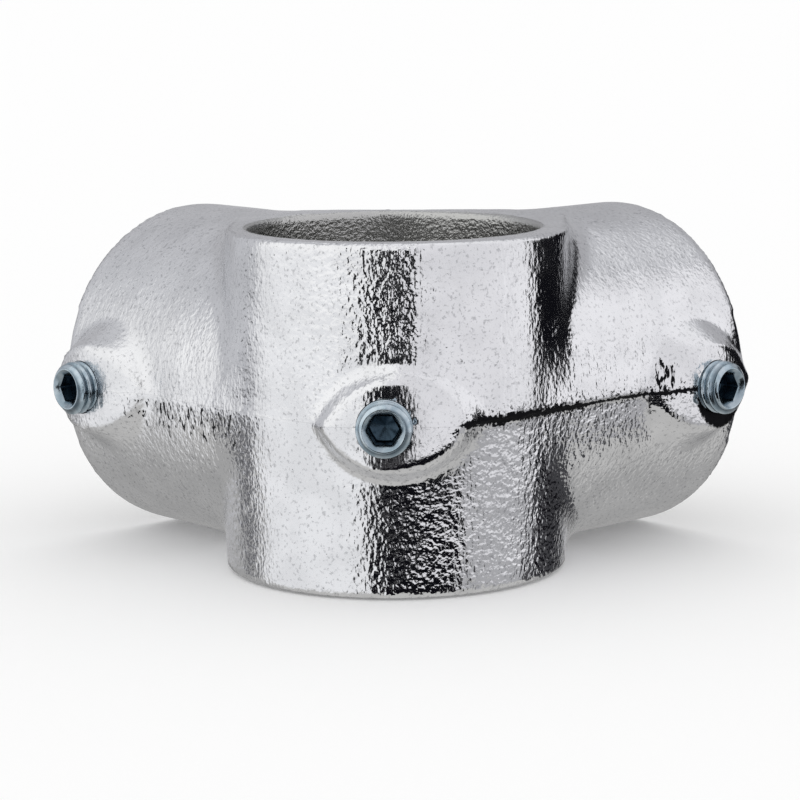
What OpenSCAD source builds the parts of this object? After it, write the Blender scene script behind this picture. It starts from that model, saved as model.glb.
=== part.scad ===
// Three-way corner clamp for round tube: an iron casting and its three set screws.
// Millimetres. The three tube axes cross at the origin: the upright runs along Z,
// the rails leave along +X and +Y, and the casting stands on the sleeve's lower rim.

/* [Tube] */

// Outside diameter of the tube that the clamp takes
tube_d = 42.4; // [26.9:0.1:60.3]
// Gap between the tube and its bore, on the radius
tube_gap = 0.45; // [0.2:0.05:0.8]

/* [Casting] */

// Wall of the sleeve at its two rims
rim_wall = 3.65; // [3:0.05:5]
// Wall of the two rail sockets
socket_wall = 3.85; // [3.2:0.05:5]
// How far each rim lies below the crest of the sockets
rim_drop = 0.2; // [0.1:0.05:1]
// Draft of the sleeve's outside, from the parting plane to each rim, in degrees
sleeve_draft = 2.5; // [1:0.5:6]
// Length of tube that each socket takes
grip_length = 23; // [18:0.5:35]
// Rounding of the socket mouths' outer edges
mouth_round = 1.5; // [0.5:0.1:2.5]
// Rounding of the rims' outer edges
rim_round = 0.8; // [0.3:0.1:1.5]
// Chamfer on the edges of the bores
bore_edge = 0.4; // [0.2:0.1:0.8]
// Fillet where the sockets run into the sleeve and into each other
joint_fillet = 8; // [3:0.5:9]
// Radius to which the sleeve's fillets open out at the parting plane
flush_fillet = 200; // [20:5:250]
// Height over the parting plane at which they are down to the plain fillet
flush_height = 14; // [8:0.5:18]
// Shift of the mould's upper half along X
shift_x = 0.15; // [-1:0.05:1]
// Shift of the mould's upper half along Y
shift_y = -0.6; // [-1:0.05:1]

/* [Socket cores] */

// Thickness of the sleeve's wall where it closes the sockets
end_wall = 3.8; // [3:0.1:6]
// Distance from that wall to the step that stops the rail
stop_gap = 1; // [0.5:0.1:3]
// Width of the step that stops the rail
stop_step = 1.3; // [0.8:0.1:2.5]
// Thickness of the web between the two sockets
core_web = 4; // [2:0.5:8]

/* [Screw bosses] */

// Height of each boss's face over the socket wall
boss_height = 3.25; // [2:0.05:5]
// Half height of the eye-shaped face
face_half_height = 6.5; // [5.5:0.1:9]
// Half width of the eye-shaped face, along the parting plane
face_half_width = 8.8; // [7:0.1:10]
// How far the boss stands to one side of its screw, along the parting plane
boss_offset = 1.1; // [0:0.1:2]
// Slope of the boss's flank, from its axis, in degrees
flank_slope = 32; // [15:1:45]
// Fillet round the boss's foot
foot_fillet = 1.6; // [1:0.1:4]

/* [Set screws] */

// Diameter of the thread
screw_d = 8; // [6:1:10]
// Length of a screw
screw_length = 10; // [9:0.5:16]
// Gap between a screw and its tapped hole, on the radius
screw_gap = 0.05; // [0.02:0.01:0.1]
// How far the point stays back from the bore
point_back = 0.1; // [0:0.05:1]
// Width across the flats of the key socket
key_width = 4; // [3:0.5:5]
// Depth of the key socket
key_depth = 4; // [2:0.5:5]
// Chamfer on both ends
screw_chamfer = 0.7; // [0.3:0.1:1]
// Diameter of the cup point
cup_d = 5; // [3:0.5:5]
// Depth of the cup point
cup_depth = 0.9; // [0.5:0.1:1.5]

/* [Hidden] */

bore_r = tube_d / 2 + tube_gap;
rim_r = bore_r + rim_wall;
socket_r = bore_r + socket_wall;
half_h = socket_r - rim_drop;
mid_r = rim_r + half_h * tan(sleeve_draft);
stop_x = bore_r + end_wall + stop_gap;
mouth_x = stop_x + grip_length;
// The rail screws stand a little outward of the grip's middle.
screw_x = stop_x + grip_length * 0.56;
face_at = socket_r + boss_height;
screw_r = screw_d / 2;
screw_from = bore_r + point_back;
// In each mould half the face is part of a circle that is centred past the parting plane.
face_r = (face_half_height + face_half_width * face_half_width / face_half_height) / 2;
face_off = face_r - face_half_height;
// Fillets start this far under the surfaces that they join.
sink = 0.1;
// A cut runs this far past the face that it opens.
past = 1;
// The mould's upper half reaches this far into the lower one.
overlap = 0.02;

fine = 96;
arc_steps = 5;
// Places at which each rolled fillet is drawn: shares of the flush height, then angles.
flush_shares = [-0.1:0.1:1];
flush_turn = turn_at(flush_height, joint_fillet);
front_rows = 9;
front_turns = [for (i = [1:front_rows]) flush_turn + (86 - flush_turn) * i / front_rows];
back_turns = [94:7:150];
corner_rises = [-2:8:62];
foot_turns = [180:-10:0];

function sleeve_r_at(z) = mid_r - abs(z) * tan(sleeve_draft);

function arc(centre, r, from, to, steps) =
    [for (i = [0:steps])
        let (a = from + (to - from) * i / steps)
        centre + r * [cos(a), sin(a)]];

// One section of a fillet: the ball's arc from one foot to the other, closed inside the metal.
function ball_section(c, p, q) =
    let (
        mid = (p + q) / 2,
        out = mid - c,
        deep = 0.4 * min(norm(p - c), joint_fillet) / norm(out),
        angle = acos((p - c) * (q - c) / (norm(p - c) * norm(q - c))),
        round = [for (i = [0:arc_steps])
            let (k = i / arc_steps)
            c + ((p - c) * sin(angle * (1 - k)) + (q - c) * sin(angle * k)) / sin(angle)]
    )
    concat(round, [mid + out * (pow(tan(angle / 2), 2) + deep)]);

// A ball of radius r between the sleeve and the X socket; turn is its angle up from the -Y side.
function sleeve_section(turn, r) =
    let (
        foot = socket_r - sink,
        reach = foot + r,
        z = reach * sin(turn),
        y = -reach * cos(turn),
        wall = sleeve_r_at(z) - sink,
        away = wall + r,
        x = sqrt(away * away - y * y)
    )
    ball_section([x, y, z], [x, -foot * cos(turn), foot * sin(turn)],
        [x * wall / away, y * wall / away, z]);

// The angle at which that ball's centre is z over the parting plane.
function turn_at(z, r) = asin(z / (socket_r - sink + r));

// The ball between sleeve and socket where its fillet opens out towards the parting plane.
function flush_section(share) =
    let (r = joint_fillet + (flush_fillet - joint_fillet) * pow(1 - share * share, 2))
    sleeve_section(turn_at(share * flush_height, r), r);

// A ball rolled in the inner corner of the two sockets; rise is its angle over the parting plane.
function corner_section(rise) =
    let (
        foot = socket_r - sink,
        away = (foot + joint_fillet) * cos(rise),
        z = foot * sin(rise)
    )
    ball_section([away, away, (foot + joint_fillet) * sin(rise)],
        [foot * cos(rise), away, z], [away, foot * cos(rise), z]);

// Distance from a tube's axis to the skin at a place beside and above a screw.
function skin_at(on_sleeve, y, z) =
    on_sleeve ? sqrt(pow(sleeve_r_at(z), 2) - y * y) : sqrt(socket_r * socket_r - z * z);

// A ball on the skin, r away from the boss's axis: where it touches and its centre, as [r, height].
function ball_touch(on_sleeve, turn, r) =
    let (
        skin = function (r)
            skin_at(on_sleeve, r * cos(turn) + boss_offset, r * sin(turn) - face_off) - sink,
        step = 0.01,
        at = skin(r),
        slope = (skin(r + step) - at) / step,
        up = [-slope, 1] / sqrt(1 + slope * slope)
    )
    [[r, at], [r, at] + foot_fillet * up];

// How far that ball stands off the boss's flank.
function flank_gap(centre) =
    let (flank = face_r + (face_at - centre[1]) * tan(flank_slope))
    (centre[0] - flank) * cos(flank_slope) + sink - foot_fillet;

// The ball's place where it touches skin and flank, found by halving.
function rolled_in(on_sleeve, turn, low, high, steps) =
    let (r = (low + high) / 2)
    steps == 0 ? ball_touch(on_sleeve, turn, r)
    : flank_gap(ball_touch(on_sleeve, turn, r)[1]) > 0 ? rolled_in(on_sleeve, turn, low, r, steps - 1)
    : rolled_in(on_sleeve, turn, r, high, steps - 1);

// One section of the fillet round a boss's foot, drawn round the boss's own axis.
function foot_section(on_sleeve, turn) =
    let (
        spot = rolled_in(on_sleeve, turn, face_r / 2, socket_r * 0.7, 18),
        c = spot[1],
        p = c - foot_fillet * [cos(flank_slope), sin(flank_slope)],
        around = function (v) [v[1], v[0] * cos(turn), v[0] * sin(turn) - face_off]
    )
    ball_section(around(c), around(p), around(spot[0]));

// A solid through a row of sections that each have as many points.
module loft(rows) {
    m = len(rows[0]);
    n = len(rows);
    sides = [for (i = [0:n - 2], j = [0:m - 1])
        let (a = i * m + j, b = i * m + (j + 1) % m)
        each [[a, b, b + m], [a, b + m, a + m]]];
    ends = [[for (j = [m - 1:-1:0]) j], [for (j = [0:m - 1]) (n - 1) * m + j]];
    polyhedron([for (row = rows) each row], concat(sides, ends));
}

// Repeats a form of the X rail for the Y rail.
module both_rails() {
    children();
    mirror([1, -1, 0])
        children();
}

module along_x(x) {
    translate([x, 0, 0])
        rotate([0, 90, 0])
            children();
}

// Places what is drawn outward along +X at each of the three screws.
module at_upright_screw() {
    rotate([0, 0, 225])
        children();
}

module at_rail_x_screw() {
    translate([screw_x, 0, 0])
        rotate([0, 0, 270])
            children();
}

module at_rail_y_screw() {
    translate([0, screw_x, 0])
        rotate([0, 0, 180])
            children();
}

// The sleeve's outside over the parting plane.
module sleeve_pattern() {
    lean = rim_round * tan(45 - sleeve_draft / 2);
    edge = arc([rim_r - lean, half_h - rim_round], rim_round, sleeve_draft, 90, 4);
    rotate_extrude($fn = fine)
        polygon(concat([[0, 0], [mid_r, 0]], edge, [[0, half_h]]));
}

// A socket's outside, from the sleeve's axis to its rounded mouth.
module socket_pattern() {
    edge = arc([socket_r - mouth_round, mouth_x - mouth_round], mouth_round, 0, 90, 5);
    along_x(0)
        rotate_extrude($fn = fine)
            polygon(concat([[0, 0], [socket_r, 0]], edge, [[0, mouth_x]]));
}

// The fillets of one socket along the sleeve, and their shared one in the inner corner.
module fillet_pattern() {
    intersection() {
        union() {
            both_rails() {
                loft(concat([for (share = flush_shares) flush_section(share)],
                    [for (turn = front_turns) sleeve_section(turn, joint_fillet)]));
                loft([for (turn = back_turns) sleeve_section(turn, joint_fillet)]);
            }
            loft([for (rise = corner_rises) corner_section(rise)]);
        }
        translate([-2 * mouth_x, -2 * mouth_x, -half_h])
            cube([4 * mouth_x, 4 * mouth_x, 2 * half_h]);
    }
}

// A boss, drawn outward along +X. Its face is part of an upright cylinder.
module boss_pattern(on_sleeve) {
    depth = face_at - bore_r;
    side = on_sleeve ? boss_offset : -boss_offset;
    intersection() {
        translate([0, side, 0]) {
            translate([0, 0, -face_off])
                along_x(bore_r)
                    cylinder(r1 = face_r + depth * tan(flank_slope), r2 = face_r, h = depth, $fn = fine);
            loft([for (turn = foot_turns) foot_section(on_sleeve, turn)]);
        }
        cylinder(r = face_at, h = 2 * half_h, center = true, $fn = fine);
    }
}

// The pattern for one half of the mould: everything on one side of the parting plane.
module half_pattern() {
    intersection() {
        union() {
            sleeve_pattern();
            fillet_pattern();
            at_upright_screw()
                boss_pattern(true);
            both_rails() {
                socket_pattern();
                at_rail_x_screw()
                    boss_pattern(false);
            }
        }
        translate([-mouth_x, -mouth_x, 0])
            cube([2 * mouth_x, 2 * mouth_x, 2 * half_h]);
    }
}

// The casting's outside as the two mould halves leave it.
module casting_skin() {
    mirror([0, 0, 1])
        half_pattern();
    translate([shift_x, shift_y, -overlap])
        half_pattern();
}

// The room for the upright, through the sleeve.
module upright_core() {
    cylinder(r = bore_r, h = 2 * half_h + 2 * past, center = true, $fn = fine);
    for (side = [0, 1])
        mirror([0, 0, side])
            translate([0, 0, half_h - bore_edge])
                cylinder(r1 = bore_r, r2 = bore_r + bore_edge + past, h = bore_edge + past, $fn = fine);
}

// The room for the X rail: the bore, its stop, and the core's nose round the sleeve's wall.
module rail_core() {
    along_x(stop_x)
        cylinder(r = bore_r, h = grip_length + past, $fn = fine);
    along_x(mouth_x - bore_edge)
        cylinder(r1 = bore_r, r2 = bore_r + bore_edge + past, h = bore_edge + past, $fn = fine);
    difference() {
        along_x(0)
            cylinder(r = bore_r - stop_step, h = stop_x + past, $fn = fine);
        cylinder(r = bore_r + end_wall, h = 2 * half_h, center = true, $fn = fine);
        rotate([0, 0, 45])
            translate([0, -core_web / 2, -half_h])
                cube([2 * mouth_x, mouth_x, 2 * half_h]);
    }
}

// A tapped hole, from the bore out through the boss.
module screw_hole() {
    along_x(bore_r - past)
        cylinder(r = screw_r + screw_gap, h = face_at - bore_r + 2 * past, $fn = fine);
}

// A set screw, drawn outward along +X from its cup point, with two key corners on the parting plane.
module set_screw() {
    end_r = screw_r - screw_chamfer;
    point = [[0, cup_depth], [cup_d / 2, 0], [end_r, 0], [screw_r, screw_chamfer]];
    head = [[screw_r, screw_length - screw_chamfer], [end_r, screw_length], [0, screw_length]];
    color([0.62, 0.67, 0.72])
        along_x(screw_from)
            rotate([0, 0, 30])
                difference() {
                    rotate_extrude($fn = fine)
                        polygon(concat(point, head));
                    translate([0, 0, screw_length - key_depth])
                        cylinder(d = key_width / cos(30), h = key_depth + past, $fn = 6);
                    translate([0, 0, screw_length - key_depth - key_width / 4])
                        cylinder(r1 = 0, r2 = key_width / 2, h = key_width / 4, $fn = fine);
                }
}

module cast_body() {
    color([0.74, 0.75, 0.76])
        difference() {
            casting_skin();
            upright_core();
            both_rails()
                rail_core();
            at_upright_screw()
                screw_hole();
            at_rail_x_screw()
                screw_hole();
            at_rail_y_screw()
                screw_hole();
        }
}

module upright_set_screw() {
    at_upright_screw()
        set_screw();
}

module rail_x_set_screw() {
    at_rail_x_screw()
        set_screw();
}

module rail_y_set_screw() {
    at_rail_y_screw()
        set_screw();
}

cast_body();
upright_set_screw();
rail_x_set_screw();
rail_y_set_screw();
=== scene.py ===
"""Visual model of a cast corner clamp for round tube, with its three set screws.

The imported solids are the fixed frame. The casting is a finer skin drawn over its
solid, with the rolls of dipped zinc, and each set screw gets its thread and plating.
"""

import logging
import math
from dataclasses import dataclass, field
from enum import Enum
from typing import Callable, ClassVar, Union

import bmesh
import bpy
from mathutils import Matrix, Vector, noise


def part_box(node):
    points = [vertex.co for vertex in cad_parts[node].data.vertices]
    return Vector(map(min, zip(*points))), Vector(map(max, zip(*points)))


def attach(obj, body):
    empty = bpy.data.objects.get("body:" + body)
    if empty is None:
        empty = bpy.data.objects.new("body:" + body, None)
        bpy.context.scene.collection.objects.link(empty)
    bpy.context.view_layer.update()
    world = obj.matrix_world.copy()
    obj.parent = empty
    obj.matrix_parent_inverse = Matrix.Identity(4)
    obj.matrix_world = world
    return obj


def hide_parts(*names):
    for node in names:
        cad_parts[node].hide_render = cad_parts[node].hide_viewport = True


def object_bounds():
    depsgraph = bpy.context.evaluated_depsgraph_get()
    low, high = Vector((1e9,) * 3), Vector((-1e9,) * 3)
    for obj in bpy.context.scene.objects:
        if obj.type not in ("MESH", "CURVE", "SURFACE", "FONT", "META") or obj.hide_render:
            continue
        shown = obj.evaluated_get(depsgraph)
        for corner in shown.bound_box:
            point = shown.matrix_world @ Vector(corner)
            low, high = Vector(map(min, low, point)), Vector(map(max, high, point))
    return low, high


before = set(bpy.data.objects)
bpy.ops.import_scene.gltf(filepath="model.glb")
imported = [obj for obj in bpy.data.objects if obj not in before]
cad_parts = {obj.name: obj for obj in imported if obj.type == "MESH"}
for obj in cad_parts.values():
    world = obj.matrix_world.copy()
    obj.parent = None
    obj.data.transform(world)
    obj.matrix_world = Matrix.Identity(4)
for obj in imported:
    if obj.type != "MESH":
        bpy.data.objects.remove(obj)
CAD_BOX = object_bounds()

log = logging.getLogger("corner_clamp")

MM = 0.001
RAY_KINDS = ("Glossy", "Transmission")
HEADING = math.radians(-132.1695)
TOWARDS_CAMERA = Vector((math.cos(HEADING), math.sin(HEADING), 0.0))
ACROSS = Vector((-math.sin(HEADING), math.cos(HEADING), 0.0))
UP = Vector((0.0, 0.0, 1.0))

Colour = tuple[float, float, float]
Span = tuple[float, float]
Number = Union[int, float]


class Value:
    """A shader value that takes part in Python's arithmetic."""

    def __init__(self, shader: "Shader", socket: bpy.types.NodeSocket) -> None:
        """Keeps the socket.

        Args:
            shader: the shader that new nodes go into.
            socket: the output socket that holds the value.
        """
        self.shader = shader
        self.socket = socket

    def math(self, operation: str, *others: "Number | Value") -> "Value":
        """Adds one Math node.

        Args:
            operation: the Math node's operation.
            others: the operands after this one.

        Returns:
            The node's result.
        """
        return self.shader.math(operation, self, *others)

    def __add__(self, other: "Number | Value") -> "Value":
        """Sum."""
        return self.math("ADD", other)

    def __radd__(self, other: Number) -> "Value":
        """Sum with a number in front."""
        return self.shader.math("ADD", other, self)

    def __sub__(self, other: "Number | Value") -> "Value":
        """Difference."""
        return self.math("SUBTRACT", other)

    def __rsub__(self, other: Number) -> "Value":
        """Difference from a number."""
        return self.shader.math("SUBTRACT", other, self)

    def __mul__(self, other: "Number | Value") -> "Value":
        """Product."""
        return self.math("MULTIPLY", other)

    def __rmul__(self, other: Number) -> "Value":
        """Product with a number in front."""
        return self.shader.math("MULTIPLY", other, self)

    def __truediv__(self, other: "Number | Value") -> "Value":
        """Quotient."""
        return self.math("DIVIDE", other)

    def __rtruediv__(self, other: Number) -> "Value":
        """Quotient of a number."""
        return self.shader.math("DIVIDE", other, self)

    def __pow__(self, other: "Number | Value") -> "Value":
        """Power."""
        return self.math("POWER", other)

    def __neg__(self) -> "Value":
        """Sign change."""
        return self.math("MULTIPLY", -1.0)

    def __abs__(self) -> "Value":
        """Size without its sign."""
        return self.math("ABSOLUTE")

    def least(self, other: "Number | Value") -> "Value":
        """The smaller of two values."""
        return self.math("MINIMUM", other)

    def most(self, other: "Number | Value") -> "Value":
        """The larger of two values."""
        return self.math("MAXIMUM", other)

    def rise(self, start: Number, end: Number) -> "Value":
        """Goes smoothly from 0 at start to 1 at end.

        Args:
            start: the value at which the result is 0.
            end: the value at which the result is 1.

        Returns:
            The smooth step.
        """
        return self.shader.value(
            "ShaderNodeMapRange",
            {"interpolation_type": "SMOOTHSTEP"},
            {"Value": self, "From Min": start, "From Max": end},
            "Result",
        )

    def between(self, low: Number, high: Number, soft: Number) -> "Value":
        """Is 1 inside a span and 0 outside.

        Args:
            low: the span's lower end.
            high: the span's upper end.
            soft: half the width of the soft edges.

        Returns:
            The mask.
        """
        return self.rise(low - soft, low + soft) * self.rise(high + soft, high - soft)


class Shader:
    """Adds nodes to one node tree."""

    def __init__(self, tree: bpy.types.NodeTree) -> None:
        """Takes over an empty tree.

        Args:
            tree: the node tree, whose nodes are removed first.
        """
        self.tree = tree
        tree.nodes.clear()

    def node(self, kind: str, settings: dict[str, object], inputs: dict[object, object]) -> bpy.types.Node:
        """Adds one node of any type.

        Args:
            kind: the node's type.
            settings: properties, set before the inputs.
            inputs: values or links of the input sockets, by name or number.

        Returns:
            The node.
        """
        made = self.tree.nodes.new(kind)
        for name, setting in settings.items():
            setattr(made, name, setting)
        for name, given in inputs.items():
            socket = given.socket if isinstance(given, Value) else given
            if isinstance(socket, bpy.types.NodeSocket):
                self.tree.links.new(socket, made.inputs[name])
            else:
                made.inputs[name].default_value = socket
        return made

    def value(
        self, kind: str, settings: dict[str, object], inputs: dict[object, object], output: object = 0
    ) -> Value:
        """Adds one node and gives one of its outputs.

        Args:
            kind: the node's type.
            settings: properties, set before the inputs.
            inputs: values or links of the input sockets.
            output: the output's name or number.

        Returns:
            The output as a value.
        """
        return Value(self, self.node(kind, settings, inputs).outputs[output])

    def math(self, operation: str, *operands: "Number | Value") -> Value:
        """Adds one Math node.

        Args:
            operation: the node's operation.
            operands: its operands in order.

        Returns:
            The node's result.
        """
        return self.value("ShaderNodeMath", {"operation": operation}, dict(enumerate(operands)))

    def blend(self, share: Value, low: "Colour | Value", high: "Colour | Value") -> Value:
        """Mixes two colours.

        Args:
            share: 0 gives the first colour, 1 the second.
            low: the first colour.
            high: the second colour.

        Returns:
            The mixed colour.
        """
        ends = [end if isinstance(end, Value) else (*end, 1.0) for end in (low, high)]
        return self.value(
            "ShaderNodeMix", {"data_type": "RGBA"}, {0: share, 6: ends[0], 7: ends[1]}, 2
        )

    def millimetres(self, stretch: Colour = (1.0, 1.0, 1.0), shift: Colour = (0.0, 0.0, 0.0)) -> Value:
        """Object coordinates in millimetres.

        Args:
            stretch: how many times a pattern repeats per millimetre, by axis.
            shift: offset of the pattern, by axis.

        Returns:
            The coordinates as a vector.
        """
        where = self.value("ShaderNodeTexCoord", {}, {}, "Object")
        scale = tuple(step / MM for step in stretch)
        return self.value("ShaderNodeMapping", {}, {"Vector": where, "Location": shift, "Scale": scale})

    def grain(self, where: Value, size: float, detail: float = 2.0, rough: float = 0.5) -> Value:
        """Cloudy noise between 0 and 1.

        Args:
            where: coordinates in millimetres.
            size: width of one cloud in millimetres.
            detail: octaves of finer noise.
            rough: weight of the finer octaves.

        Returns:
            The noise.
        """
        return self.value(
            "ShaderNodeTexNoise",
            {"noise_dimensions": "3D"},
            {"Vector": where, "Scale": 1.0 / size, "Detail": detail, "Roughness": rough},
        )

    def along(self, where: Value, axis: Vector) -> Value:
        """Distance along an axis.

        Args:
            where: coordinates.
            axis: unit vector of the axis.

        Returns:
            The coordinates' share along the axis.
        """
        return self.value(
            "ShaderNodeVectorMath", {"operation": "DOT_PRODUCT"}, {0: where, 1: tuple(axis)}, "Value"
        )

    def length(self, where: Value, keep: Colour) -> Value:
        """Distance from an axis or the origin.

        Args:
            where: coordinates.
            keep: 1 for each coordinate that counts, 0 for the others.

        Returns:
            The distance.
        """
        flat = self.value("ShaderNodeVectorMath", {"operation": "MULTIPLY"}, {0: where, 1: keep})
        return self.value("ShaderNodeVectorMath", {"operation": "LENGTH"}, {0: flat}, "Value")

    def bump(self, height: Value) -> Value:
        """Turns a height into a normal.

        Args:
            height: the height in millimetres.

        Returns:
            The normal.
        """
        return self.value(
            "ShaderNodeBump", {}, {"Strength": 1.0, "Distance": MM, "Height": height}, "Normal"
        )

    def principled(self, inputs: dict[object, object]) -> Value:
        """Adds the main shader of a surface.

        Args:
            inputs: values or links of its input sockets.

        Returns:
            The surface.
        """
        return self.value("ShaderNodeBsdfPrincipled", {}, inputs)


def new_material(name: str, surface: Callable[[Shader], Value]) -> bpy.types.Material:
    """Makes a material from the rule of its surface.

    Args:
        name: the material's name.
        surface: adds the surface's nodes and gives its shader.

    Returns:
        The material.
    """
    made = bpy.data.materials.new(name)
    made.use_nodes = True
    shader = Shader(made.node_tree)
    shader.node("ShaderNodeOutputMaterial", {}, {"Surface": surface(shader)})
    return made


@dataclass(frozen=True)
class Spot:
    """Where a point of the casting lies, in millimetres."""

    where: Value
    across: Value
    up: Value
    rail_x: Value
    rail_y: Value

    @classmethod
    def on(cls, shader: Shader) -> "Spot":
        """Reads the point's place.

        Args:
            shader: the shader that asks.

        Returns:
            The place, also along the casting's own directions.
        """
        where = shader.millimetres()
        axes = [ACROSS, UP, Vector((1.0, 0.0, 0.0)), Vector((0.0, 1.0, 0.0))]
        return cls(where, *[shader.along(where, axis) for axis in axes])

    def beside_screw(self) -> Value:
        """Distance along the X rail from its screw."""
        return self.rail_x - ScrewPlace.RAIL_X.station().x / MM


@dataclass(frozen=True)
class Relief:
    """Cloudy relief of the zinc; sizes in millimetres."""

    size: float
    height: float
    detail: float = 1.0
    rough: float = 0.5
    stretch: Colour = (1.0, 1.0, 1.0)
    shift: Colour = (0.0, 0.0, 0.0)

    def on(self, shader: Shader) -> Value:
        """Adds the relief.

        Args:
            shader: the shader.

        Returns:
            Its height.
        """
        where = shader.millimetres(self.stretch, self.shift)
        return shader.grain(where, self.size, self.detail, self.rough) * self.height


@dataclass(frozen=True)
class Sand:
    """Share of the full grain on one mould half: plain, on the front and on the X rail's side."""

    plain: float
    front: float
    front_start: Span
    front_end: Span
    side: float
    side_start: Span

    def share(self, across: Value) -> Value:
        """Share of the grain round the sleeve.

        Args:
            across: distance across the view.

        Returns:
            The share.
        """
        front = across.rise(*self.front_start) * across.rise(*self.front_end)
        return self.plain + front * self.front + across.rise(*self.side_start) * self.side


@dataclass(frozen=True)
class ZincSkin:
    """Height of the dipped zinc over the grain of the mould; sizes in millimetres."""

    grain: Relief = Relief(0.8, 0.24, detail=1.5)
    run: Relief = Relief(0.7, 0.10, stretch=(1.0, 1.0, 0.6), shift=(3.0, 7.0, 1.0))
    ripple: Relief = Relief(2.4, 0.10)
    stroke: Relief = Relief(0.45, 0.035, stretch=(1.0, 1.0, 0.22), shift=(5.0, 2.0, 9.0))
    peel: Relief = Relief(0.5, 0.022, detail=2.0, rough=0.6)
    core: Relief = Relief(0.6, 0.16, detail=2.0, rough=0.6)
    upper: Sand = Sand(0.30, 0.6, (-15.0, -6.0), (3.7, 3.1), 0.06, (18.2, 20.0))
    lower: Sand = Sand(0.42, 0.18, (-9.0, -4.0), (11.0, 9.0), 0.45, (18.5, 21.0))
    parting: Span = (-0.4, 0.4)
    socket_start: Span = (14.0, 22.0)
    socket_share: float = 0.5
    socket_loss: float = 0.24
    boss_share: float = 0.14
    boss_edge: Span = (10.5, 8.5)
    boss_front: Span = (-34.0, -36.0)
    least_ripple: float = 0.3

    def share(self, spot: Spot) -> Value:
        """Share of the full grain at each place.

        Args:
            spot: the point.

        Returns:
            The share, from about 0.1 to 1.
        """
        upper = spot.up.rise(*self.parting)
        under = self.lower.share(spot.across)
        sleeve = under + (self.upper.share(spot.across) - under) * upper
        sockets = spot.rail_x.most(spot.rail_y).rise(*self.socket_start)
        share = sleeve + (self.socket_share - upper * self.socket_loss - sleeve) * sockets
        beside = (spot.rail_x - spot.rail_y) * math.sqrt(0.5)
        from_screw = (beside * beside + spot.up * spot.up) ** 0.5
        boss = from_screw.rise(*self.boss_edge) * (spot.rail_x + spot.rail_y).rise(*self.boss_front)
        return share + (self.boss_share - share) * boss

    def height(self, shader: Shader, spot: Spot, inside: Value) -> Value:
        """Height of the zinc's surface.

        Args:
            shader: the shader.
            spot: the point.
            inside: 1 in a bore.

        Returns:
            The height in millimetres.
        """
        share = self.share(spot)
        coarse = (self.grain.on(shader) + self.run.on(shader)) * share
        rolls = self.ripple.on(shader) * (self.least_ripple + share * (1.0 - self.least_ripple))
        height = coarse + rolls + self.stroke.on(shader) + self.peel.on(shader)
        return height + (self.core.on(shader) - height) * inside


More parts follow.
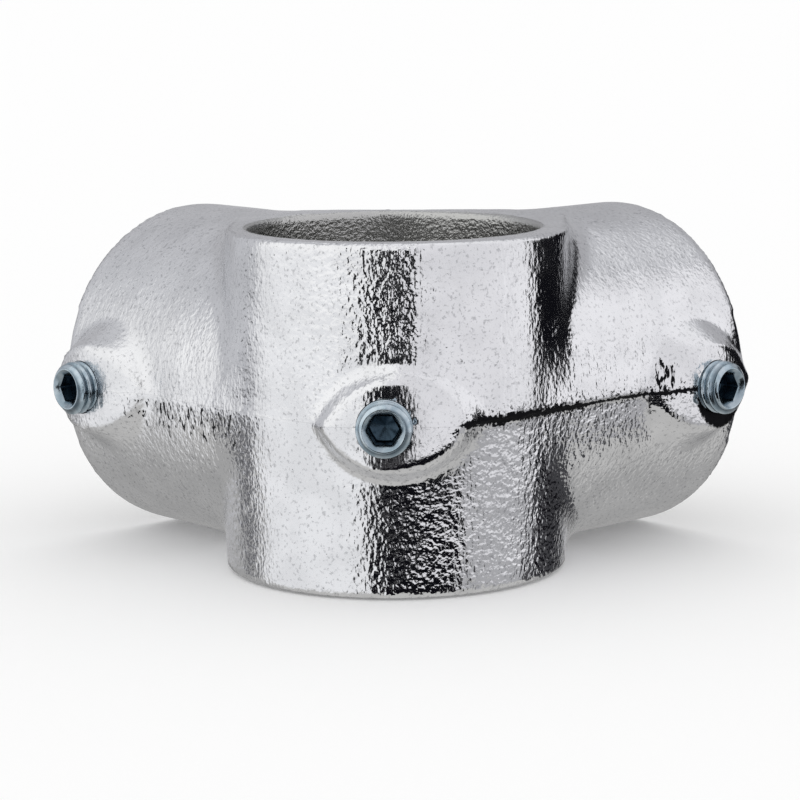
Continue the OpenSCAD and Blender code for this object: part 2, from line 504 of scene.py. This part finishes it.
@dataclass(frozen=True)
class DrossAndPaintedShade:
    """Dark marks on the zinc: dross with painted shade along the parting line, painted dark reflections, a
    painted shadow under the X rail's screw and painted shade in small pits; sizes in millimetres.

    A span is the start and the end of a fade, except right_span, which the flecks fill, and pool_middle,
    which is a point beside and above the X rail's screw.
    """

    ragged_size: float = 0.55
    soft: float = 0.06
    rail_x_side: Span = (-14.0, -19.0)
    seam_wave: float = 3.0
    seam_wander: float = 0.8
    seam_drop: float = 0.05
    seam_start: Span = (8.6, 10.4)
    seam_end: Span = (-2.35, -4.35)
    seam_width: float = 0.8
    seam_taper: Span = (19.0, 30.0)
    seam_loss: float = 0.4
    ragged_gain: float = 2.4
    ragged_loss: float = 0.3
    line_fade: Span = (-0.06, 0.12)
    speck_level: float = 0.51
    speck_thinning: float = 0.05
    speck_reach: Span = (2.8, 0.6)
    fleck_size: float = 0.6
    fleck_stretch: Colour = (1.0, 1.0, 0.32)
    fleck_shift: Colour = (4.0, 6.0, 2.0)
    fleck_fade: float = 0.3
    left_level: float = 0.545
    left_foot: Span = (-9.5, -4.0)
    left_top: Span = (-0.2, -1.0)
    left_end: Span = (37.0, 26.0)
    left_start: Span = (-20.0, -23.0)
    right_level: float = 0.44
    right_soft: float = 0.05
    right_span: Span = (-10.95, -7.55)
    right_edge: float = 1.2
    right_top: Span = (6.5, 3.0)
    right_foot: Span = (0.0, 0.3)
    pool_middle: Span = (0.65, -1.6)
    pool_radius: float = 4.1
    pool_gain: float = 1.4
    pool_fade: Span = (-0.15, 0.25)
    pool_side: Span = (-20.0, -22.0)
    pool_top: Span = (0.6, -0.6)
    pit_spacing: float = 1.1
    pit_radius: float = 0.10
    pit_draw: Span = (0.35, 1.0)
    pit_fade: Span = (-0.02, 0.05)
    pit_share: float = 0.75

    def mark(self, shader: Shader, spot: Spot) -> Value:
        """Marks all the dark marks: dross, painted shade, painted reflections and a painted shadow.

        Args:
            shader: the shader.
            spot: the point.

        Returns:
            1 on a dark mark, 0 beside it.
        """
        ragged = shader.grain(spot.where, self.ragged_size, 2.0, 0.6)
        dark = self.seam(shader, spot, ragged).most(self.painted_reflection_flecks(shader, spot))
        return dark.most(self.painted_shadow_pool(spot, ragged)).most(self.shaded_pits(shader, spot) * self.pit_share)

    def seam(self, shader: Shader, spot: Spot, ragged: Value) -> Value:
        """Marks dross in the parting line on the X rail's side, with specks about it, and painted shade of
        the crease between the mould halves.

        Args:
            shader: the shader.
            spot: the point.
            ragged: fine noise for torn edges.

        Returns:
            1 on dross, 0 beside it.
        """
        wander = (shader.grain(spot.where, self.seam_wave, 1.0) - 0.5) * self.seam_wander
        gap = abs(spot.up + self.seam_drop + wander)
        run = spot.across.rise(*self.seam_start) * spot.rail_y.rise(*self.rail_x_side)
        run = run * spot.beside_screw().rise(*self.seam_end)
        width = run * (self.seam_width - spot.across.rise(*self.seam_taper) * self.seam_loss)
        # the dark line: dross in the joint and painted shade in the crease
        line = (width * (ragged * self.ragged_gain - self.ragged_loss) - gap).rise(*self.line_fade)
        specks = (ragged - self.speck_level - gap * self.speck_thinning).rise(0.0, self.soft)
        return line.most(specks * gap.rise(*self.speck_reach) * run)

    def painted_reflection_flecks(self, shader: Shader, spot: Spot) -> Value:
        """Marks the upright flecks under the Y rail's seam and before the X rail's boss: painted dark
        reflections.

        Args:
            shader: the shader.
            spot: the point.

        Returns:
            1 on a fleck, 0 beside it.
        """
        combed = shader.grain(
            shader.millimetres(self.fleck_stretch, self.fleck_shift), self.fleck_size, 2.0, 0.6
        )
        left = spot.up.rise(*self.left_foot) * spot.up.rise(*self.left_top)
        left = left * spot.rail_y.rise(*self.left_end) * spot.across.rise(*self.left_start)
        right = spot.beside_screw().between(*self.right_span, self.right_edge)
        right = right * spot.up.rise(*self.right_top) * spot.rail_y.rise(*self.rail_x_side)
        # the flecks are painted dark reflections
        on_left = (combed - self.left_level - (1.0 - left) * self.fleck_fade).rise(0.0, self.soft)
        on_right = (combed - self.right_level - (1.0 - right) * self.fleck_fade).rise(0.0, self.right_soft)
        return on_left.most(on_right * spot.up.rise(*self.right_foot))

    def painted_shadow_pool(self, spot: Spot, ragged: Value) -> Value:
        """Marks the painted shadow that lies under the X rail's screw.

        Args:
            spot: the point.
            ragged: fine noise for torn edges.

        Returns:
            1 in the pool, 0 beside it.
        """
        beside = spot.beside_screw() - self.pool_middle[0]
        above = spot.up - self.pool_middle[1]
        middle = (beside * beside + above * above) ** 0.5
        # painted shadow under the screw
        painted_shadow_pool = (self.pool_radius + ragged * self.pool_gain - middle).rise(*self.pool_fade)
        return painted_shadow_pool * spot.rail_y.rise(*self.pool_side) * spot.up.rise(*self.pool_top)

    def shaded_pits(self, shader: Shader, spot: Spot) -> Value:
        """Marks the small dark pits that are scattered over the skin, painted dark as shade in the pits.

        Args:
            shader: the shader.
            spot: the point.

        Returns:
            1 in a pit, 0 beside it.
        """
        cells = shader.node(
            "ShaderNodeTexVoronoi", {}, {"Vector": spot.where, "Scale": 1.0 / self.pit_spacing}
        )
        middle = Value(shader, cells.outputs["Distance"]) * self.pit_spacing
        drawn = shader.value("ShaderNodeSeparateColor", {}, {"Color": cells.outputs["Color"]})
        reach = self.pit_radius * drawn.rise(*self.pit_draw)
        # painted shade fills each pit
        return (reach - middle).rise(*self.pit_fade)


@dataclass(frozen=True)
class DippedZinc:
    """Bright zinc from a hot bath; sizes in millimetres."""

    name: str = "dipped_zinc"
    skin: ZincSkin = ZincSkin()
    dross_and_shade: DrossAndPaintedShade = DrossAndPaintedShade()
    bright: Colour = (0.88, 0.885, 0.90)
    dull: Colour = (0.80, 0.805, 0.82)
    drained_and_shaded: Colour = (0.54, 0.54, 0.53)
    hollow_oxide_and_shade: Colour = (0.50, 0.505, 0.52)
    dark: Colour = (0.012, 0.012, 0.014)
    gloss: float = 0.09
    dull_gloss: float = 0.15
    satin_gloss: float = 0.27
    drained_gloss: float = 0.24
    dark_gloss: float = 0.5
    cloud_size: float = 7.0
    cloud_fade: Span = (0.36, 0.66)
    valley_size: float = 0.55
    valley_fade: Span = (0.46, 0.30)
    valley_share: float = 0.8
    satin_start: Span = (16.0, 24.0)
    bore_edge: Span = (22.35, 22.05)
    socket_start: Span = (24.0, 25.0)

    def material(self) -> bpy.types.Material:
        """Builds the material."""
        return new_material(self.name, self.surface)

    def surface(self, shader: Shader) -> Value:
        """Adds the surface's nodes.

        Args:
            shader: the shader.

        Returns:
            The surface.
        """
        spot = Spot.on(shader)
        inside = self.inside(shader, spot)
        # dark marks: dross with painted shade, painted reflections and a painted shadow, none in the bores
        dark = self.dross_and_shade.mark(shader, spot) * (1.0 - inside)
        clouds = shader.grain(spot.where, self.cloud_size, 3.0, 0.55).rise(*self.cloud_fade)
        low = shader.grain(spot.where, self.valley_size, 2.5, 0.6).rise(*self.valley_fade)
        outside = shader.blend(clouds, self.bright, self.dull)
        # darker grey where a fine noise is low: oxide and painted shade in the zinc's hollows
        outside = shader.blend(low * self.valley_share, outside, self.hollow_oxide_and_shade)
        # bores' walls: duller zinc, darkened as painted shade inside the bores
        colour = shader.blend(dark, shader.blend(inside, outside, self.drained_and_shaded), self.dark)
        gloss = self.gloss + clouds * (self.dull_gloss - self.gloss)
        gloss = gloss + spot.rail_y.rise(*self.satin_start) * (self.satin_gloss - gloss)
        gloss = gloss + inside * (self.drained_gloss - gloss)
        gloss = gloss + dark * (self.dark_gloss - gloss)
        normal = shader.bump(self.skin.height(shader, spot, inside))
        return shader.principled(
            {"Base Color": colour, "Metallic": 1.0, "Roughness": gloss, "Normal": normal}
        )

    def inside(self, shader: Shader, spot: Spot) -> Value:
        """Marks the walls of the three bores.

        Args:
            shader: the shader.
            spot: the point.

        Returns:
            1 in a bore, 0 outside.
        """
        across_axes = [(1.0, 1.0, 0.0), (0.0, 1.0, 1.0), (1.0, 0.0, 1.0)]
        upright, in_x, in_y = [shader.length(spot.where, keep).rise(*self.bore_edge) for keep in across_axes]
        in_x = in_x * spot.rail_x.rise(*self.socket_start)
        in_y = in_y * spot.rail_y.rise(*self.socket_start)
        return upright.most(in_x).most(in_y)


@dataclass(frozen=True)
class BlueZinc:
    """Bright zinc plating with a blue passivated tint; sizes in millimetres."""

    name: str = "blue_zinc"
    bright: Colour = (0.60, 0.69, 0.75)
    shade: Colour = (0.40, 0.50, 0.57)
    recess_shade: Colour = (0.05, 0.08, 0.11)
    gloss: float = 0.10
    cloud_gloss: float = 0.06
    recess_gloss: float = 0.28
    cloud_size: float = 1.6
    cloud_fade: Span = (0.35, 0.65)
    fine: Relief = Relief(0.35, 0.02)

    def material(self) -> bpy.types.Material:
        """Builds the material."""
        return new_material(self.name, self.surface)

    def surface(self, shader: Shader) -> Value:
        """Adds the surface's nodes.

        Args:
            shader: the shader.

        Returns:
            The surface.
        """
        clouds = shader.grain(shader.millimetres(), self.cloud_size, 2.0, 0.5).rise(*self.cloud_fade)
        # painted shade: darker deeper in the key socket, and dark thread roots with dirt and painted shade
        deep = shader.value("ShaderNodeAttribute", {"attribute_name": SetScrew.RECESS_SHADE}, {}, "Fac")
        plated = shader.blend(clouds, self.bright, self.shade)
        gloss = self.gloss + clouds * self.cloud_gloss + deep * (self.recess_gloss - self.gloss)
        return shader.principled(
            {
                "Base Color": shader.blend(deep, plated, self.recess_shade),
                "Metallic": 1.0,
                "Roughness": gloss,
                "Normal": shader.bump(self.fine.on(shader)),
            }
        )


@dataclass(frozen=True)
class PaperFloor:
    """Matt white paper of the studio floor."""

    name: str = "white_paper"
    colour: Colour = (0.99, 0.99, 0.99)

    def material(self) -> bpy.types.Material:
        """Builds the material."""
        return new_material(self.name, self.surface)

    def surface(self, shader: Shader) -> Value:
        """Adds the surface's nodes.

        Args:
            shader: the shader.

        Returns:
            The surface.
        """
        return shader.principled(
            {"Base Color": (*self.colour, 1.0), "Roughness": 1.0, "Specular IOR Level": 0.0}
        )


def finished(bm: bmesh.types.BMesh, name: str, material: bpy.types.Material) -> bpy.types.Object:
    """Turns a bmesh into an object at the origin.

    Args:
        bm: the bmesh, freed here.
        name: the object's name.
        material: its material.

    Returns:
        The linked object, shaded smooth.
    """
    mesh = bpy.data.meshes.new(name)
    for face in bm.faces:
        face.smooth = True
    bm.to_mesh(mesh)
    bm.free()
    mesh.materials.append(material)
    piece = bpy.data.objects.new(name, mesh)
    bpy.context.scene.collection.objects.link(piece)
    return piece


@dataclass
class Casting:
    """The iron body: a fine even skin over the solid, with the rolls of its zinc."""

    finish: DippedZinc = field(default_factory=DippedZinc)
    node: str = "cast_body"
    net_depth: int = 8
    net_scale: float = 0.465
    weld: float = 0.002 * MM
    pull: float = 0.5
    edge_passes: int = 1
    face_passes: int = 6
    edge_turn: float = math.radians(14.0)
    sleeve_radius: float = 23.5 * MM
    face_radius: float = 28.75 * MM
    mould_shift: Span = (0.15 * MM, -0.6 * MM)
    boss_radius: float = 12.0 * MM
    step_radius: float = 9.6 * MM
    step_height: float = 1.0 * MM
    step_depth: float = 0.4
    ground_depth: float = 1.9 * MM
    ground_to: float = 28.95 * MM
    ground_lean: float = 0.035
    hole_edge: float = 4.5 * MM
    hole_radius: float = 4.06 * MM
    rim_reach: float = 5.2 * MM
    rim_depth: float = 0.5
    wall_depth: float = 0.8
    rim_turn: float = math.radians(40.0)
    soft_from: float = 6.5 * MM
    soft_to: float = 14.0 * MM
    soft_passes: int = 7
    roll_sizes: tuple[Span, ...] = ((9.0 * MM, 0.05 * MM), (3.2 * MM, 0.018 * MM))

    def skin(self) -> bpy.types.Mesh:
        """Draws an even net of faces over the solid.

        Returns:
            The new mesh.
        """
        bm = bmesh.new()
        bm.from_mesh(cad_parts[self.node].data)
        bmesh.ops.remove_doubles(bm, verts=bm.verts, dist=self.weld)
        rough = finished(bm, "casting_rough", bpy.data.materials.new("casting_rough"))
        net = rough.modifiers.new("net", "REMESH")
        net.mode = "SHARP"
        net.octree_depth = self.net_depth
        net.scale = self.net_scale
        net.sharpness = 1.0
        net.use_smooth_shade = True
        view = bpy.context.evaluated_depsgraph_get()
        mesh = bpy.data.meshes.new_from_object(rough.evaluated_get(view))
        bpy.data.objects.remove(rough)
        return mesh

    def relax(self, bm: bmesh.types.BMesh) -> None:
        """Evens the net out, more on open faces than along edges.

        Args:
            bm: the net.
        """
        stations = [(place, place.station()) for place in ScrewPlace]
        free_verts = [
            vert
            for vert in bm.verts
            if not any(place.aside(vert.co - at) < self.hole_edge for place, at in stations)
        ]
        self.smooth(bm, free_verts, self.edge_passes)
        bm.normal_update()
        limit = math.cos(self.edge_turn)
        open_verts = [
            vert
            for vert in free_verts
            if all(face.normal.dot(vert.normal) > limit for face in vert.link_faces)
        ]
        self.smooth(bm, open_verts, self.face_passes)
        bm.normal_update()

    def smooth(self, bm: bmesh.types.BMesh, verts: list[bmesh.types.BMVert], passes: int) -> None:
        """Draws points towards the middle of their neighbours.

        Args:
            bm: the net.
            verts: the points.
            passes: how many times.
        """
        axes = {f"use_axis_{axis}": True for axis in "xyz"}
        for _ in range(passes):
            bmesh.ops.smooth_vert(bm, verts=verts, factor=self.pull, **axes)

    def dress(self, bm: bmesh.types.BMesh) -> None:
        """Grinds the mould's step off the bosses' faces and drills their holes round.

        Args:
            bm: the net.
        """
        rims: set[bmesh.types.BMVert] = set()
        for place in ScrewPlace:
            at = place.station()
            for vert in bm.verts:
                off = vert.co - at
                aside = place.aside(off)
                if aside > self.boss_radius:
                    continue
                if aside < self.hole_edge:
                    ahead = place.outward * off.dot(place.outward)
                    off = ahead + (off - ahead) * (self.hole_radius / aside)
                    vert.co = at + off
                    rims.add(vert)
                vert.co.xy += self.ground(off, aside)
            self.soften(bm, place, at)
        bm.normal_update()
        for edge in bm.edges:
            if rims.issuperset(edge.verts) and edge.calc_face_angle(0.0) > self.rim_turn:
                edge.smooth = False

    def soften(self, bm: bmesh.types.BMesh, place: "ScrewPlace", at: Vector) -> None:
        """Rounds the edges of one boss as the thick zinc does.

        Args:
            bm: the net.
            place: the boss's screw.
            at: the screw's station.
        """
        edges = []
        for vert in bm.verts:
            off = vert.co - at
            if off.xy.length > self.sleeve_radius and self.soft_from < place.aside(off) < self.soft_to:
                edges.append(vert)
        self.smooth(bm, edges, self.soft_passes)

    def ground(self, off: Vector, aside: float) -> Vector:
        """How far grinding moves one point of a boss.

        Args:
            off: the point, from the screw's station.
            aside: its distance from the screw's axis.

        Returns:
            The move, level with the floor.
        """
        reach = off.xy.length
        way = off.xy / reach
        face = self.face_radius + (Vector(self.mould_shift).dot(way) if off.z > 0.0 else 0.0)
        ground = self.ground_to - off.z * self.ground_lean
        depth = min(max((reach - face) / self.ground_depth + 1.0, 0.0), 1.0)
        in_hole = aside < self.hole_edge
        at_step = not in_hole and aside < self.step_radius and abs(off.z) < self.step_height
        at_step = at_step and depth > self.step_depth
        at_rim = aside < self.rim_reach and depth > (self.wall_depth if in_hole else self.rim_depth)
        if at_step or at_rim:
            return way * (ground - reach)
        return way * (ground - face) * depth * depth * (3.0 - 2.0 * depth)

    def roll(self, bm: bmesh.types.BMesh) -> None:
        """Raises and lowers the skin by the zinc's slow rolls.

        Args:
            bm: the net.
        """
        moves = [
            vert.normal * sum(height * noise.noise(vert.co / size) for size, height in self.roll_sizes)
            for vert in bm.verts
        ]
        for vert, move in zip(bm.verts, moves):
            vert.co += move

    def build(self) -> bpy.types.Object:
        """Builds the body and sets it in the frame.

        Returns:
            The casting.
        """
        mesh = self.skin()
        bm = bmesh.new()
        bm.from_mesh(mesh)
        bpy.data.meshes.remove(mesh)
        self.relax(bm)
        self.dress(bm)
        self.roll(bm)
        piece = finished(bm, "casting", self.finish.material())
        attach(piece, "casting")
        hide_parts(self.node)
        return piece


class ScrewPlace(Enum):
    """Where the set screws sit, each with the direction from its point to its head."""

    UPRIGHT = ("upright", (-math.sqrt(0.5), -math.sqrt(0.5), 0.0))
    RAIL_X = ("rail_x", (0.0, -1.0, 0.0))
    RAIL_Y = ("rail_y", (-1.0, 0.0, 0.0))

    @property
    def stem(self) -> str:
        """First part of the names of its body and node."""
        return self.value[0]

    @property
    def outward(self) -> Vector:
        """Direction from point to head."""
        return Vector(self.value[1])

    def station(self) -> Vector:
        """Point of the tube's axis that the screw points at.

        Returns:
            The point in metres.
        """
        low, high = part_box(f"{self.stem}_set_screw")
        middle = (low + high) / 2.0
        return middle - self.outward * middle.dot(self.outward)

    def aside(self, off: Vector) -> float:
        """Distance from the screw's axis.

        Args:
            off: a point, from the screw's station.

        Returns:
            The distance, endless behind the station.
        """
        ahead = off.dot(self.outward)
        return (off - self.outward * ahead).length if ahead > 0.0 else math.inf


@dataclass
class SetScrew:
    """A threaded set screw with a key socket and a cup point; sizes in millimetres."""

    RECESS_SHADE: ClassVar[str] = "recess_shade"

    place: ScrewPlace
    finish: BlueZinc = field(default_factory=BlueZinc)
    length: float = 10.0
    crest: float = 3.97
    pitch: float = 1.25
    thread_depth: float = 0.62
    crest_share: float = 0.24
    root_share: float = 0.2
    root_shade: float = 0.8
    sink_shade: float = 0.25
    mouth_shade: float = 0.35
    wall_shade: float = 0.4
    deep_shade: float = 0.85
    chamfer_share: float = 1.35
    lip_height: float = 0.03
    bevel: float = 0.06
    burr: float = 0.05
    cup_round: Span = (0.9, 0.35)
    sink_round: Span = (0.55, 0.3)
    tip_radius: float = 0.05
    point_chamfer: float = 0.9
    head_chamfer: float = 0.75
    cup_radius: float = 2.5
    cup_depth: float = 0.9
    key_width: float = 4.0
    key_depth: float = 4.0
    sink_radius: float = 2.92
    sink_depth: float = 0.65
    drill_depth: float = 0.8
    segments: int = 72
    ring_step: float = 0.125

    def groove(self, angle: float, height: float) -> float:
        """How deep a point lies in the thread's groove.

        Args:
            angle: angle round the axis.
            height: distance from the point.

        Returns:
            0 on the crest, 1 at the root.
        """
        turn = (height / self.pitch - angle / math.tau) % 1.0
        from_crest = abs(turn - 0.5) * 2.0
        flank = (from_crest - self.crest_share) / (1.0 - self.crest_share - self.root_share)
        flank = min(max(flank, 0.0), 1.0)
        return flank * flank * (3.0 - 2.0 * flank)

    def thread(self, angle: float, height: float) -> float:
        """Radius of the thread, inside the chamfers of both ends.

        Args:
            angle: angle round the axis.
            height: distance from the point.

        Returns:
            The radius.
        """
        from_end = min(height / self.point_chamfer, (self.length - height) / self.head_chamfer)
        chamfer = self.crest - (self.crest - self.end_radius()) * (1.0 - min(from_end, 1.0))
        return min(self.crest - self.thread_depth * self.groove(angle, height), chamfer)

    def end_radius(self) -> float:
        """Radius at the outer end of a chamfer."""
        return self.crest - self.thread_depth * self.chamfer_share

    def hexagon(self, angle: float, _height: float) -> float:
        """Radius of the key socket's wall, the same at any height.

        Args:
            angle: angle round the axis.

        Returns:
            The radius.
        """
        sixth = math.tau / 6.0
        return self.key_width / 2.0 / math.cos(angle % sixth - sixth / 2.0)

    def stations(self) -> list[tuple[float, Callable[[float, float], float], float]]:
        """Rings of the skin, from the cup round the outside to the socket's floor.

        Returns:
            Height, radius rule and shade of each ring.
        """

        def ring(radius: float) -> Callable[[float, float], float]:
            """A round ring."""
            return lambda _angle, _height: radius

        head = self.length
        mouth = head - self.sink_depth
        floor = head - self.key_depth
        steps = round(self.length / self.ring_step)
        cup_share, cup_middle = self.cup_round
        sink_share, sink_step = self.sink_round
        return [
            (self.cup_depth, ring(self.tip_radius), 0.0),
            (self.cup_depth * cup_share, ring(cup_middle), 0.0),
            (0.0, ring(self.cup_radius), 0.0),
            *((head * step / steps, self.thread, self.root_shade) for step in range(steps + 1)),
            (head + self.lip_height, ring(self.end_radius() - self.bevel), 0.0),
            (head + self.lip_height, ring(self.sink_radius + self.burr), 0.0),
            (head, ring(self.sink_radius), self.sink_shade),
            (head - self.sink_depth * sink_share, ring(self.sink_radius - sink_step), self.mouth_shade),
            (mouth, self.hexagon, self.mouth_shade),
            (mouth - self.bevel, self.hexagon, self.wall_shade),
            ((mouth + floor) / 2.0, self.hexagon, self.deep_shade),
            (floor + self.burr, self.hexagon, 1.0),
            (floor, ring(self.key_width / 2.0 - self.bevel), 1.0),
            (floor - self.drill_depth, ring(self.tip_radius), 1.0),
        ]

    def build(self) -> bpy.types.Object:
        """Builds the screw and sets it in the frame.

        Returns:
            The screw.
        """
        bm = bmesh.new()
        deep = bm.verts.layers.float.new(self.RECESS_SHADE)
        rows = self.stations()
        bmesh.ops.create_circle(bm, cap_ends=True, segments=self.segments, radius=1.0)
        loop = list(bm.verts)
        edges = list(bm.edges)
        for number, (height, radius, shade) in enumerate(rows):
            if number:
                grown = bmesh.ops.extrude_edge_only(bm, edges=edges)["geom"]
                loop = [part for part in grown if isinstance(part, bmesh.types.BMVert)]
                edges = [part for part in grown if isinstance(part, bmesh.types.BMEdge)]
            for vert in loop:
                angle = math.atan2(vert.co.y, vert.co.x)
                reach = radius(angle, height)
                vert.co = (reach * math.cos(angle), reach * math.sin(angle), height)
                # painted shade of each ring, by depth in the socket and in the thread's roots
                vert[deep] = shade * (self.groove(angle, height) if radius == self.thread else 1.0)
        bmesh.ops.edgeloop_fill(bm, edges=edges)
        bmesh.ops.recalc_face_normals(bm, faces=bm.faces)
        bmesh.ops.transform(bm, matrix=self.seat(), verts=bm.verts)
        piece = finished(bm, f"{self.place.stem}_screw_thread", self.finish.material())
        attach(piece, f"{self.place.stem}_screw")
        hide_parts(f"{self.place.stem}_set_screw")
        return piece

    def seat(self) -> Matrix:
        """Place of the screw in its hole, from the box of its solid.

        Returns:
            The matrix from the screw's own millimetres to the frame.
        """
        low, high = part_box(f"{self.place.stem}_set_screw")
        outward = self.place.outward
        axes = Matrix((UP.cross(outward), UP, outward)).transposed().to_4x4()
        point = (low + high) / 2.0 - outward * self.length / 2.0 * MM
        return Matrix.Translation(point) @ axes @ Matrix.Scale(MM, 4)


@dataclass(frozen=True)
class Panel:
    """A lit or dark panel of the studio; degrees from the part, azimuth from the camera."""

    name: str
    azimuth: Span
    elevation: Span
    colour: Colour
    soft: Span


@dataclass
class Studio:
    """The floor, the light all round and the camera."""

    floor_finish: PaperFloor = field(default_factory=PaperFloor)
    floor_radius: float = 9.0
    floor_sides: int = 96
    floor_gap: float = 0.02 * MM
    wall: Colour = (0.57, 0.575, 0.60)
    panels: tuple[Panel, ...] = (
        Panel("floor", (-180.0, 180.0), (-95.0, -12.8), (0.55, 0.545, 0.535), (4.0, 3.0)),
        Panel("back floor", (112.0, 250.0), (-50.0, -13.0), (0.39, 0.388, 0.385), (8.0, 5.0)),
        Panel("back wall", (118.0, 222.0), (-12.0, 36.0), (0.45, 0.45, 0.47), (6.0, 8.0)),
        Panel("right roof", (20.0, 200.0), (46.0, 100.0), (0.88, 0.88, 0.90), (9.0, 9.0)),
        Panel("left dome", (-104.0, 4.0), (-7.0, 100.0), (1.0, 1.0, 1.0), (10.0, 5.0)),
        Panel("right dome", (-4.0, 115.0), (-12.8, 100.0), (0.81, 0.805, 0.83), (7.0, 1.2)),
        Panel("right lamp", (78.0, 115.0), (-12.8, 100.0), (0.90, 0.895, 0.92), (6.0, 1.2)),
        Panel("left apron", (-100.0, -16.0), (-36.0, 0.0), (0.88, 0.885, 0.90), (6.0, 9.0)),
        Panel("dark camera side", (-16.0, 9.0), (-13.0, 26.0), (0.004, 0.004, 0.006), (1.5, 3.0)),
        Panel("dark table edge", (-17.0, 46.0), (-40.0, -12.8), (0.004, 0.004, 0.006), (2.0, 1.2)),
        Panel("grey table", (46.0, 98.0), (-26.0, -12.8), (0.43, 0.43, 0.445), (2.0, 1.2)),
        Panel("dark door", (99.0, 152.0), (-16.0, 13.0), (0.004, 0.004, 0.006), (2.0, 3.0)),
        Panel("dark door sill", (98.0, 152.0), (-28.0, -12.8), (0.055, 0.055, 0.06), (2.0, 1.2)),
        Panel("dark left corner", (-124.0, -107.0), (-17.0, -8.0), (0.14, 0.14, 0.15), (3.0, 2.0)),
    )
    distance: float = 423.34 * MM
    elevation: float = math.radians(9.3298)
    roll: float = math.radians(-0.5072)
    aside: float = 0.7706 * MM
    raised: float = -0.8111 * MM
    focal: float = 127.952
    film: float = 36.0
    clip: Span = (0.01, 50.0)

    def lay_floor(self) -> bpy.types.Object:
        """Lays the floor under the part.

        Returns:
            The floor.
        """
        bm = bmesh.new()
        bmesh.ops.create_circle(bm, cap_ends=True, segments=self.floor_sides, radius=self.floor_radius)
        bmesh.ops.translate(bm, vec=UP * (CAD_BOX[0][2] - self.floor_gap), verts=bm.verts)
        floor = finished(bm, "floor", self.floor_finish.material())
        floor.visible_glossy = False
        return floor

    def hang_light(self) -> None:
        """Makes the light all round: white for the camera, panels in reflections."""
        world = bpy.data.worlds.new("studio")
        world.use_nodes = True
        bpy.context.scene.world = world
        shader = Shader(world.node_tree)
        ray = shader.value("ShaderNodeTexCoord", {}, {}, "Generated")
        side = shader.along(ray, ACROSS)
        front = shader.along(ray, TOWARDS_CAMERA)
        up = shader.along(ray, UP)
        degrees = 180.0 / math.pi
        azimuth = side.math("ARCTAN2", front) * degrees
        elevation = up.least(1.0).most(-1.0).math("ARCSINE") * degrees
        colour: "Colour | Value" = self.wall
        for panel in self.panels:
            colour = shader.blend(self.mask(panel, azimuth, elevation), colour, panel.colour)
            colour.socket.node.label = panel.name
        path = shader.node("ShaderNodeLightPath", {}, {})
        glossy, through = [Value(shader, path.outputs[f"Is {ray_kind} Ray"]) for ray_kind in RAY_KINDS]
        mirrored = glossy.most(through)
        shown = shader.blend(mirrored, (1.0, 1.0, 1.0), colour)
        light = shader.value("ShaderNodeBackground", {}, {"Color": shown, "Strength": 1.0})
        shader.node("ShaderNodeOutputWorld", {}, {"Surface": light})

    def mask(self, panel: Panel, azimuth: Value, elevation: Value) -> Value:
        """Marks one panel.

        Args:
            panel: the panel.
            azimuth: azimuth of the ray in degrees.
            elevation: elevation of the ray in degrees.

        Returns:
            1 on the panel, 0 beside it.
        """
        middle = sum(panel.azimuth) / 2.0
        half = (panel.azimuth[1] - panel.azimuth[0]) / 2.0
        off = abs(azimuth - middle)
        off = off.least(360.0 - off)
        wide = off.rise(half + panel.soft[0], half - panel.soft[0])
        return wide * elevation.between(*panel.elevation, panel.soft[1])

    def set_camera(self) -> bpy.types.Object:
        """Sets the camera at the photograph's viewing angle.

        Returns:
            The camera.
        """
        back = TOWARDS_CAMERA * math.cos(self.elevation) + UP * math.sin(self.elevation)
        up = back.cross(ACROSS)
        at = back * self.distance + ACROSS * self.aside + up * self.raised
        right_turned = ACROSS * math.cos(self.roll) + up * math.sin(self.roll)
        up_turned = up * math.cos(self.roll) - ACROSS * math.sin(self.roll)
        lens = bpy.data.cameras.new("camera")
        lens.lens = self.focal
        lens.sensor_width = self.film
        lens.clip_start, lens.clip_end = self.clip
        camera = bpy.data.objects.new("camera", lens)
        turn = Matrix((right_turned, up_turned, back)).transposed().to_4x4()
        camera.matrix_world = Matrix.Translation(at) @ turn
        bpy.context.scene.collection.objects.link(camera)
        bpy.context.scene.camera = camera
        return camera

    def build(self) -> None:
        """Sets up the whole studio."""
        self.set_camera()
        self.lay_floor()
        self.hang_light()
        bpy.context.scene.view_settings.view_transform = "Standard"


def main() -> None:
    """Builds the studio, the casting and the screws."""
    logging.basicConfig(level=logging.INFO, format="%(message)s")
    Studio().build()
    log.info("studio set")
    casting = Casting().build()
    log.info("%s: %d faces", casting.name, len(casting.data.polygons))
    for place in ScrewPlace:
        screw = SetScrew(place).build()
        log.info("%s: %d faces", screw.name, len(screw.data.polygons))


if __name__ == "__main__":
    main()
